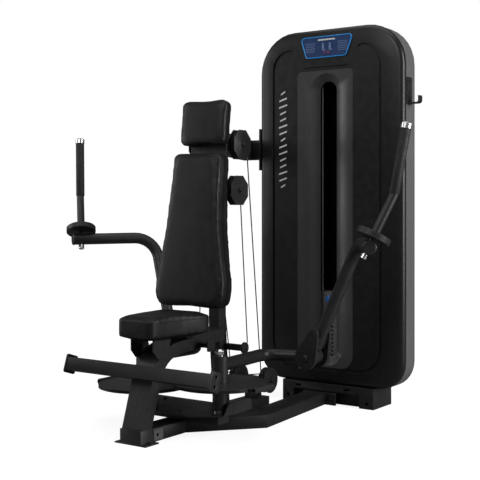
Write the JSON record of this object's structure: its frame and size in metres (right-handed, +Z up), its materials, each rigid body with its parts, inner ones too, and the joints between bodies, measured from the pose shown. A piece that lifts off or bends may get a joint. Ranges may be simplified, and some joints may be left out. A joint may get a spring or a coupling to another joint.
{
  "type": "pec deck machine",
  "caption": "Seated chest fly machine with padded seat and back, two swinging arms with upright grips, and a shrouded weight-stack tower.",
  "frame": {"origin": "on the floor, on the seat centre plane, midway between the two arm pivot shafts", "axes": "+Z up; the sitter faces -Y; +X is the sitter's left, the side the tower stands towards"},
  "size_m": [1.6864, 1.275, 1.652],
  "materials": {
    "charcoal_paint": "fine satin powder coat",
    "vinyl": "soft satin upholstery vinyl",
    "black_steel": "satin black",
    "black_plastic": "matte",
    "pulley_nylon": "matte",
    "grip_rubber": "matte",
    "chrome": "polished",
    "aluminium": "turned satin",
    "weight_iron": "painted satin",
    "cable": "coated cable",
    "tower_shell": "satin",
    "tower_side": "satin",
    "tower_strip": "satin",
    "blue_plastic": "gloss"
  },
  "bodies": {
    "frame": {"backrest_pad": "vinyl", "centre_panel": "tower_strip", "deck_plate": "charcoal_paint", "foot_block": "charcoal_paint", "front_crossbar": "charcoal_paint", "front_shroud": "tower_shell", "headrest_pad": "vinyl", "left_cable": "cable", "left_guide_rod": "chrome", "left_pivot_shaft": "chrome", "lower_pulley_bracket": "charcoal_paint", "lower_weight_plates": "weight_iron", "middle_pulley_bracket": "charcoal_paint", "pad_mount_plate": "black_steel", "pivot_cross_tube": "charcoal_paint", "placard": "blue_plastic", "rear_post": "charcoal_paint", "rear_shell": "tower_side", "right_cable": "cable", "right_guide_rod": "chrome", "right_pivot_shaft": "chrome", "seat_arch": "charcoal_paint", "seat_bracket": "charcoal_paint", "seat_pad": "vinyl", "side_tube": "charcoal_paint", "spine_tube": "charcoal_paint", "towel_hook": "black_steel", "tower_base": "charcoal_paint", "tower_frame": "charcoal_paint", "upper_beam": "charcoal_paint"},
    "left_arm": {"left_arm_tube": "charcoal_paint", "left_cam": "charcoal_paint"},
    "left_swing_arm": {"left_upper_arm": "charcoal_paint", "left_elbow_bolt": "black_steel"},
    "left_handle": {"left_handle_tube": "charcoal_paint", "left_hand_guard": "black_plastic", "left_grip": "grip_rubber", "left_grip_cap": "aluminium"},
    "left_pin": {"left_pull_pin": "chrome"},
    "left_upper_wheel": {"left_upper_pulley": "pulley_nylon"},
    "left_middle_wheel": {"left_middle_pulley": "pulley_nylon"},
    "left_lower_wheel": {"left_lower_pulley": "pulley_nylon"},
    "right_arm": {"right_arm_tube": "charcoal_paint", "right_cam": "charcoal_paint"},
    "right_swing_arm": {"right_upper_arm": "charcoal_paint", "right_elbow_bolt": "black_steel"},
    "right_handle": {"right_handle_tube": "charcoal_paint", "right_hand_guard": "black_plastic", "right_grip": "grip_rubber", "right_grip_cap": "aluminium"},
    "right_pin": {"right_pull_pin": "chrome"},
    "right_upper_wheel": {"right_upper_pulley": "pulley_nylon"},
    "right_middle_wheel": {"right_middle_pulley": "pulley_nylon"},
    "right_lower_wheel": {"right_lower_pulley": "pulley_nylon"},
    "stack": {"top_weight_plate": "weight_iron", "second_weight_plate": "weight_iron", "selector_stem": "chrome", "lift_cable": "cable"},
    "selector": {"selector_pin": "blue_plastic"}
  },
  "joints": [
    {"name": "left_arm_swing", "type": "hinge", "parent": "frame", "child": "left_arm", "pos_m": [0.19, 0, 0.2], "axis": [0, 0, 1], "range_deg": [-110, 0]},
    {"name": "left_elbow", "type": "hinge", "parent": "left_arm", "child": "left_swing_arm", "pos_m": [0.357, 0.395, 0.268], "axis": [0, 1, 0], "range_deg": [-20, 0]},
    {"name": "left_handle_swivel", "type": "hinge", "parent": "left_swing_arm", "child": "left_handle", "pos_m": [0.71714, 0.19129, 0.72327], "axis": [0.3297, 0.3119, 0.8911], "range_deg": [-45, 45]},
    {"name": "left_pin_pull", "type": "slide", "parent": "left_swing_arm", "child": "left_pin", "axis": [-0.3297, -0.3119, -0.8911], "range_m": [0, 0.008]},
    {"name": "right_arm_swing", "type": "hinge", "parent": "frame", "child": "right_arm", "pos_m": [-0.19, 0, 0.2], "axis": [0, 0, 1], "range_deg": [0, 110]},
    {"name": "right_elbow", "type": "hinge", "parent": "right_arm", "child": "right_swing_arm", "pos_m": [-0.357, 0.395, 0.268], "axis": [0, 1, 0], "range_deg": [0, 20]},
    {"name": "right_handle_swivel", "type": "hinge", "parent": "right_swing_arm", "child": "right_handle", "pos_m": [-0.71714, 0.19129, 0.72327], "axis": [-0.3297, 0.3119, 0.8911], "range_deg": [-45, 45]},
    {"name": "right_pin_pull", "type": "slide", "parent": "right_swing_arm", "child": "right_pin", "axis": [0.3297, -0.3119, -0.8911], "range_m": [0, 0.008]},
    {"name": "stack_lift", "type": "slide", "parent": "frame", "child": "stack", "axis": [0, 0, 1], "range_m": [0, 0.35]},
    {"name": "selector_pull", "type": "slide", "parent": "stack", "child": "selector", "axis": [0, -1, 0], "range_m": [0, 0.06]},
    {"name": "left_upper_pulley_spin", "type": "hinge", "parent": "frame", "child": "left_upper_wheel", "pos_m": [0.1, 0.256, 1.12], "axis": [1, 0, 0], "range_deg": [-400, 400]},
    {"name": "left_middle_pulley_spin", "type": "hinge", "parent": "frame", "child": "left_middle_wheel", "pos_m": [0.1, 0.235, 0.935], "axis": [1, 0, 0], "range_deg": [-400, 400]},
    {"name": "left_lower_pulley_spin", "type": "hinge", "parent": "frame", "child": "left_lower_wheel", "pos_m": [0.076, 0.5, 0.13], "axis": [1, 0, 0], "range_deg": [-400, 400]},
    {"name": "right_upper_pulley_spin", "type": "hinge", "parent": "frame", "child": "right_upper_wheel", "pos_m": [-0.1, 0.256, 1.12], "axis": [1, 0, 0], "range_deg": [-400, 400]},
    {"name": "right_middle_pulley_spin", "type": "hinge", "parent": "frame", "child": "right_middle_wheel", "pos_m": [-0.1, 0.235, 0.935], "axis": [1, 0, 0], "range_deg": [-400, 400]},
    {"name": "right_lower_pulley_spin", "type": "hinge", "parent": "frame", "child": "right_lower_wheel", "pos_m": [-0.076, 0.5, 0.13], "axis": [1, 0, 0], "range_deg": [-400, 400]}
  ],
  "couplings": [
    {"joint": "right_arm_swing", "follows": "left_arm_swing", "ratio": -1},
    {"joint": "stack_lift", "follows": "left_arm_swing", "m_per_rad": -0.18},
    {"joint": "left_upper_pulley_spin", "follows": "left_arm_swing", "ratio": 3.6},
    {"joint": "left_middle_pulley_spin", "follows": "left_arm_swing", "ratio": 3.6},
    {"joint": "left_lower_pulley_spin", "follows": "left_arm_swing", "ratio": 3.6},
    {"joint": "right_upper_pulley_spin", "follows": "left_arm_swing", "ratio": 3.6},
    {"joint": "right_middle_pulley_spin", "follows": "left_arm_swing", "ratio": 3.6},
    {"joint": "right_lower_pulley_spin", "follows": "left_arm_swing", "ratio": 3.6}
  ]
}
